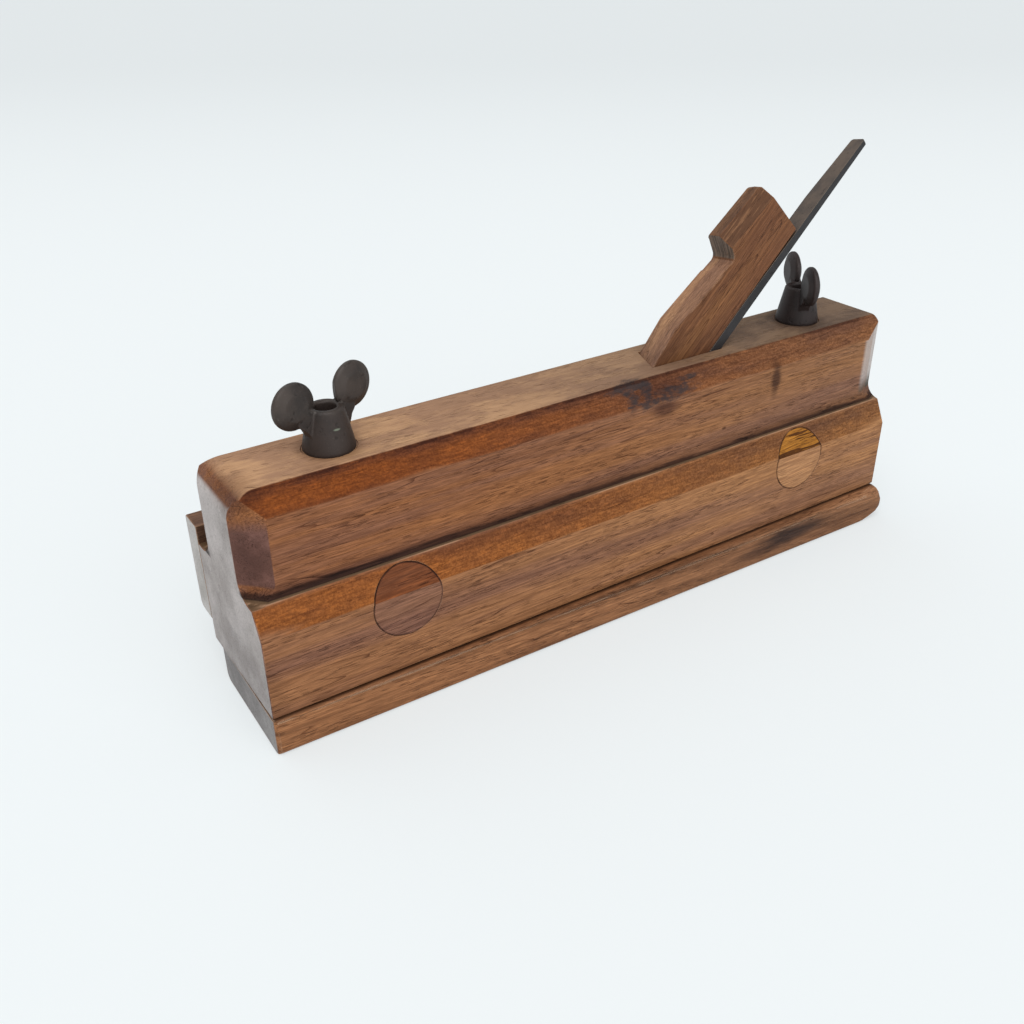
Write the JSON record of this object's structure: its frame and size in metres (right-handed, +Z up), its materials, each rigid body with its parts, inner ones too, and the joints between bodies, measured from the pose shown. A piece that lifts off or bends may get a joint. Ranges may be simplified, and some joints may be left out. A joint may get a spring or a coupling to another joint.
{
  "type": "moving fillister plane",
  "caption": "Wooden moving fillister plane with a sliding fence under the sole, wing-nut clamps, a wooden side depth stop and a skewed iron held by a wedge.",
  "frame": {"origin": "point on the fence's underside, below the line through the two clamp bolts and at half the stock's length", "axes": "+X along the plane from toe to heel, +Y across it to the side with the depth stop, +Z up"},
  "size_m": [0.243, 0.0622, 0.1352],
  "materials": {
    "stock_wood": "aged, oiled, dull sheen",
    "front_plug_wood": "aged, planed flush",
    "rear_plug_wood": "aged, planed flush",
    "fence_wood": "aged, worn edges",
    "stop_wood": "aged, oiled",
    "iron_steel": "brown patina",
    "wedge_wood": "aged, handled",
    "bolt_steel": "rusted dark",
    "washer_steel": "dark patina",
    "nut_iron": "matt, dark brown-grey",
    "plate_steel": "brown patina",
    "pin_steel": "brown patina",
    "screw_steel": "brown patina",
    "nicker_steel": "ground, lightly tarnished",
    "nicker_wedge_wood": "aged"
  },
  "bodies": {
    "body": {"stock": "stock_wood", "front_plug": "front_plug_wood", "rear_plug": "rear_plug_wood"},
    "fence": {"fence": "fence_wood"},
    "stop": {"depth_stop": "stop_wood", "front_slot_plate": "plate_steel", "rear_slot_plate": "plate_steel", "front_plate_pins": "pin_steel", "rear_plate_pins": "pin_steel"},
    "iron": {"iron": "iron_steel"},
    "wedge": {"wedge": "wedge_wood"},
    "front_clamp": {"front_bolt": "bolt_steel", "front_clamp_washer": "washer_steel"},
    "rear_clamp": {"rear_bolt": "bolt_steel", "rear_clamp_washer": "washer_steel"},
    "front_nut": {"front_wing_nut": "nut_iron"},
    "rear_nut": {"rear_wing_nut": "nut_iron"},
    "front_screw": {"front_stop_screw": "screw_steel"},
    "rear_screw": {"rear_stop_screw": "screw_steel"},
    "nicker": {"nicker": "nicker_steel"},
    "nicker_wedge": {"nicker_wedge": "nicker_wedge_wood"}
  },
  "joints": [
    {"name": "fence_slide", "type": "slide", "parent": "body", "child": "fence", "axis": [0.0157, 0.9999, 0], "range_m": [-0.006, 0.0035]},
    {"name": "stop_slide", "type": "slide", "parent": "body", "child": "stop", "axis": [0, 0, 1], "range_m": [-0.0068, 0.006]},
    {"name": "iron_slide", "type": "slide", "parent": "body", "child": "iron", "axis": [0.7009, 0, 0.7133], "range_m": [-0.0005, 0.004]},
    {"name": "wedge_slide", "type": "slide", "parent": "body", "child": "wedge", "axis": [0.7009, 0, 0.7133], "range_m": [0, 0.025]},
    {"name": "front_nut_turn", "type": "hinge", "parent": "body", "child": "front_nut", "pos_m": [-0.0862, 0, 0.0752], "axis": [0, 0, 1], "range_deg": [0, 240]},
    {"name": "rear_nut_turn", "type": "hinge", "parent": "body", "child": "rear_nut", "pos_m": [0.0926, 0, 0.0752], "axis": [0, 0, 1], "range_deg": [0, 240]},
    {"name": "front_bolt_drop", "type": "slide", "parent": "body", "child": "front_clamp", "axis": [0, 0, -1], "range_m": [0, 0.0011]},
    {"name": "rear_bolt_drop", "type": "slide", "parent": "body", "child": "rear_clamp", "axis": [0, 0, -1], "range_m": [0, 0.0011]},
    {"name": "front_screw_turn", "type": "hinge", "parent": "body", "child": "front_screw", "pos_m": [-0.058, 0.0313, 0.035], "axis": [0, 1, 0], "range_deg": [0, 90]},
    {"name": "rear_screw_turn", "type": "hinge", "parent": "body", "child": "rear_screw", "pos_m": [0.058, 0.0313, 0.035], "axis": [0, 1, 0], "range_deg": [0, 90]},
    {"name": "nicker_slide", "type": "slide", "parent": "body", "child": "nicker", "axis": [0, 0, 1], "range_m": [-0.0005, 0.005]},
    {"name": "nicker_wedge_slide", "type": "slide", "parent": "body", "child": "nicker_wedge", "axis": [0, 0, 1], "range_m": [0, 0.006]}
  ],
  "couplings": [
    {"joint": "front_bolt_drop", "follows": "front_nut_turn", "m_per_rad": 0.0002387},
    {"joint": "rear_bolt_drop", "follows": "rear_nut_turn", "m_per_rad": 0.0002387}
  ]
}
